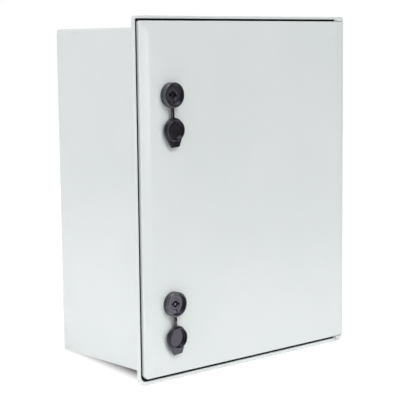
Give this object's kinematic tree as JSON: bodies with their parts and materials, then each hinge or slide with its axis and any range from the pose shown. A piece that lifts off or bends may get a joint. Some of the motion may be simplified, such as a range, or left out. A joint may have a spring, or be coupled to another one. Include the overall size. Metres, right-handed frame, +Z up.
{
  "type": "polyester enclosure",
  "caption": "Deep wall-mounted polyester enclosure with an outward rim, a hinged door, quarter-turn locks under hanging dust caps, and a steel mounting plate inside.",
  "frame": {"origin": "centre of the flat back face, which goes against the wall", "axes": "+X to the hinge side of the door, +Y back into the wall, +Z up"},
  "size_m": [0.432, 0.2286, 0.532],
  "materials": {
    "grp_grey": "smooth moulded glass-fibre polyester, light grey",
    "lock_black": "black moulded polyamide, slight gloss",
    "cap_black": "soft black rubber, satin",
    "seal_black": "matt black sealing strip",
    "gasket": "foamed dark grey seal",
    "bush": "plain bearing plastic",
    "stainless": "drawn stainless steel",
    "zinc_steel": "zinc-plated steel",
    "insert_brass": "turned brass"
  },
  "bodies": {
    "case": {"case_body": "grp_grey", "rim_seal": "seal_black", "upper_lock_catch": "grp_grey", "lower_lock_catch": "grp_grey", "upper_hinge_pin": "stainless", "lower_hinge_pin": "stainless", "mounting_plate": "zinc_steel", "plate_screws": "zinc_steel", "plate_washers": "zinc_steel", "plate_inserts": "insert_brass"},
    "door": {"door": "grp_grey", "door_gasket": "gasket", "upper_hinge_bush": "bush", "lower_hinge_bush": "bush", "upper_lock_collar": "lock_black", "upper_lock_barrel": "lock_black", "upper_lock_seal": "gasket", "upper_lock_nut": "lock_black", "upper_cap_strap": "cap_black", "lower_lock_collar": "lock_black", "lower_lock_barrel": "lock_black", "lower_lock_seal": "gasket", "lower_lock_nut": "lock_black", "lower_cap_strap": "cap_black"},
    "upper_lock": {"upper_lock_core": "lock_black", "upper_lock_cam": "zinc_steel", "upper_cam_screw": "zinc_steel"},
    "upper_cap": {"upper_dust_cap": "cap_black"},
    "lower_lock": {"lower_lock_core": "lock_black", "lower_lock_cam": "zinc_steel", "lower_cam_screw": "zinc_steel"},
    "lower_cap": {"lower_dust_cap": "cap_black"}
  },
  "joints": [
    {"name": "door_hinge", "type": "hinge", "parent": "case", "child": "door", "pos_m": [0.2055, -0.21265, 0], "axis": [0, 0, 1], "range_deg": [0, 135]},
    {"name": "upper_lock_turn", "type": "hinge", "parent": "door", "child": "upper_lock", "pos_m": [-0.1554, -0.2171, 0.1534], "axis": [0, 1, 0], "range_deg": [0, 90]},
    {"name": "upper_cap_flip", "type": "hinge", "parent": "door", "child": "upper_cap", "pos_m": [-0.15453, -0.22575, 0.12824], "axis": [-0.9994, 0, -0.0346], "range_deg": [0, 180], "deforming": ["upper_cap_strap"]},
    {"name": "lower_lock_turn", "type": "hinge", "parent": "door", "child": "lower_lock", "pos_m": [-0.1554, -0.2171, -0.1508], "axis": [0, 1, 0], "range_deg": [0, 90]},
    {"name": "lower_cap_flip", "type": "hinge", "parent": "door", "child": "lower_cap", "pos_m": [-0.15453, -0.22575, -0.17596], "axis": [-0.9994, 0, -0.0346], "range_deg": [0, 180], "deforming": ["lower_cap_strap"]}
  ]
}
